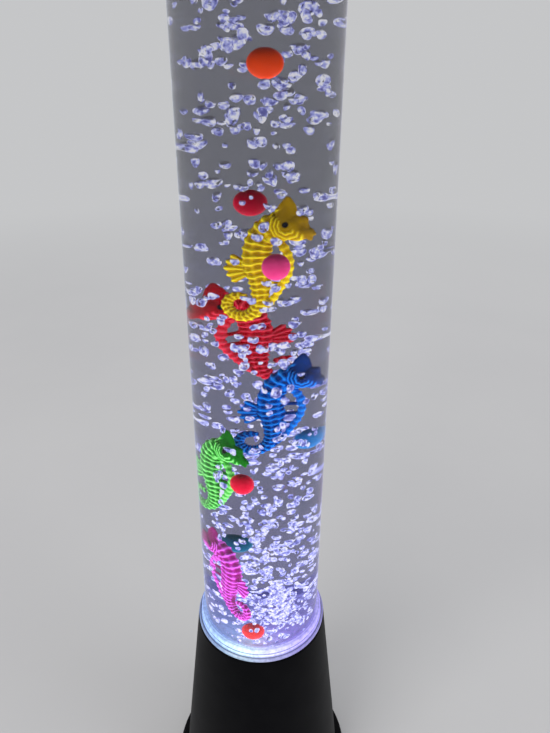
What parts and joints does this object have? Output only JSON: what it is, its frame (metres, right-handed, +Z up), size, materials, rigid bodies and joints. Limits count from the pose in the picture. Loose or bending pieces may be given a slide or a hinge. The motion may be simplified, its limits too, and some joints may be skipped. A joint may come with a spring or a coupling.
{
  "type": "bubble tube floor lamp",
  "caption": "Clear water tube with moulded seahorses and balls, lit and aerated from a tapered black base with a clear collar and a lift-off cap.",
  "frame": {"origin": "on the floor, at the tube's axis, under the middle of the foot", "axes": "+Z up along the tube's axis; -Y is the front that the picture shows; the inlet and the button face +Y"},
  "size_m": [0.1376, 0.1376, 0.9365],
  "materials": {
    "black_shell": "satin moulded black ABS",
    "black_foot": "satin moulded black ABS",
    "foot_rubber": "matt moulded rubber",
    "screw_steel": "zinc-plated steel",
    "collar_acrylic": "clear polished acrylic, lit from below",
    "silicone": "translucent silicone",
    "tube_acrylic": "clear polished acrylic",
    "floor_acrylic": "clear acrylic, bonded",
    "plate_acrylic": "frosted acrylic",
    "board_green": "solder-masked board",
    "led_white": "white light cups",
    "pump_plastic": "moulded off-white ABS",
    "core_iron": "stacked iron laminations",
    "coil_copper": "varnished copper winding",
    "arm_plastic": "glass-filled nylon",
    "magnet": "sintered ferrite",
    "valve_blue": "moulded polypropylene",
    "jack_black": "black nylon",
    "button_black": "satin moulded ABS",
    "toy_yellow": "glossy moulded soft plastic",
    "toy_red": "glossy moulded soft plastic",
    "toy_blue": "glossy moulded soft plastic",
    "toy_green": "glossy moulded soft plastic",
    "toy_magenta": "glossy moulded soft plastic",
    "ball_orange": "smooth satin plastic",
    "ball_crimson": "smooth satin plastic",
    "ball_pink": "smooth satin plastic",
    "ball_sky": "smooth satin plastic",
    "ball_red": "smooth satin plastic",
    "ball_teal": "smooth satin plastic",
    "ball_coral": "smooth satin plastic"
  },
  "bodies": {
    "lamp": {"base_shell": "black_shell", "base_plate": "black_foot", "rubber_feet": "foot_rubber", "base_screws": "screw_steel", "collar": "collar_acrylic", "tube_gasket": "silicone", "tube": "tube_acrylic", "tube_floor": "floor_acrylic", "bubble_plate": "plate_acrylic", "led_board": "board_green", "leds": "led_white", "led_screws": "screw_steel", "pump_mounts": "foot_rubber", "pump_case": "pump_plastic", "pump_cover": "pump_plastic", "pump_core": "core_iron", "pump_coil": "coil_copper", "arm_pin": "screw_steel", "pump_diaphragm": "foot_rubber", "pump_valve": "pump_plastic", "hose_lower": "silicone", "hose_upper": "silicone", "check_valve": "valve_blue", "control_board": "board_green", "mode_switch": "jack_black", "dc_jack": "jack_black"},
    "cap": {"top_cap": "black_shell"},
    "button": {"mode_button": "button_black"},
    "arm": {"pump_arm": "arm_plastic", "pump_magnet": "magnet"},
    "seahorse_yellow": {"seahorse_yellow": "toy_yellow"},
    "seahorse_red": {"seahorse_red": "toy_red"},
    "seahorse_blue": {"seahorse_blue": "toy_blue"},
    "seahorse_green": {"seahorse_green": "toy_green"},
    "seahorse_magenta": {"seahorse_magenta": "toy_magenta"},
    "ball_orange": {"ball_orange": "ball_orange"},
    "ball_crimson": {"ball_crimson": "ball_crimson"},
    "ball_pink": {"ball_pink": "ball_pink"},
    "ball_sky": {"ball_sky": "ball_sky"},
    "ball_red": {"ball_red": "ball_red"},
    "ball_teal": {"ball_teal": "ball_teal"},
    "ball_coral": {"ball_coral": "ball_coral"}
  },
  "joints": [
    {"name": "cap_lift", "type": "slide", "parent": "lamp", "child": "cap", "axis": [0, 0, 1], "range_m": [0, 0.06]},
    {"name": "button_press", "type": "slide", "parent": "lamp", "child": "button", "axis": [0, -1, 0], "range_m": [0, 0.001], "stiffness_N_per_m": 200, "springref_m": -0.001},
    {"name": "arm_swing", "type": "hinge", "parent": "lamp", "child": "arm", "pos_m": [-0.018, 0, 0.042], "axis": [0, 1, 0], "range_deg": [-1.5, 1.5], "stiffness_Nm_per_rad": 0.6, "deforming": ["pump_diaphragm"]},
    {"name": "seahorse_yellow_drift", "type": "slide", "parent": "lamp", "child": "seahorse_yellow", "axis": [0, 0, 1], "range_m": [-0.017, 0.03]},
    {"name": "seahorse_red_drift", "type": "slide", "parent": "lamp", "child": "seahorse_red", "axis": [0, 0, 1], "range_m": [-0.02, 0.025]},
    {"name": "seahorse_blue_drift", "type": "slide", "parent": "lamp", "child": "seahorse_blue", "axis": [0, 0, 1], "range_m": [-0.025, 0.018]},
    {"name": "seahorse_green_drift", "type": "slide", "parent": "lamp", "child": "seahorse_green", "axis": [0, 0, 1], "range_m": [-0.002, 0.03]},
    {"name": "seahorse_magenta_drift", "type": "slide", "parent": "lamp", "child": "seahorse_magenta", "axis": [0, 0, 1], "range_m": [-0.004, 0.01]},
    {"name": "ball_orange_drift", "type": "slide", "parent": "lamp", "child": "ball_orange", "axis": [0, 0, 1], "range_m": [-0.02, 0.04]},
    {"name": "ball_crimson_drift", "type": "slide", "parent": "lamp", "child": "ball_crimson", "axis": [0, 0, 1], "range_m": [-0.012, 0.02]},
    {"name": "ball_pink_drift", "type": "slide", "parent": "lamp", "child": "ball_pink", "axis": [0, 0, 1], "range_m": [-0.03, 0.03]},
    {"name": "ball_sky_drift", "type": "slide", "parent": "lamp", "child": "ball_sky", "axis": [0, 0, 1], "range_m": [-0.03, 0.03]},
    {"name": "ball_red_drift", "type": "slide", "parent": "lamp", "child": "ball_red", "axis": [0, 0, 1], "range_m": [-0.03, 0.002]},
    {"name": "ball_teal_drift", "type": "slide", "parent": "lamp", "child": "ball_teal", "axis": [0, 0, 1], "range_m": [-0.03, 0.03]},
    {"name": "ball_coral_drift", "type": "slide", "parent": "lamp", "child": "ball_coral", "axis": [0, 0, 1], "range_m": [-0.003, 0.004]}
  ]
}
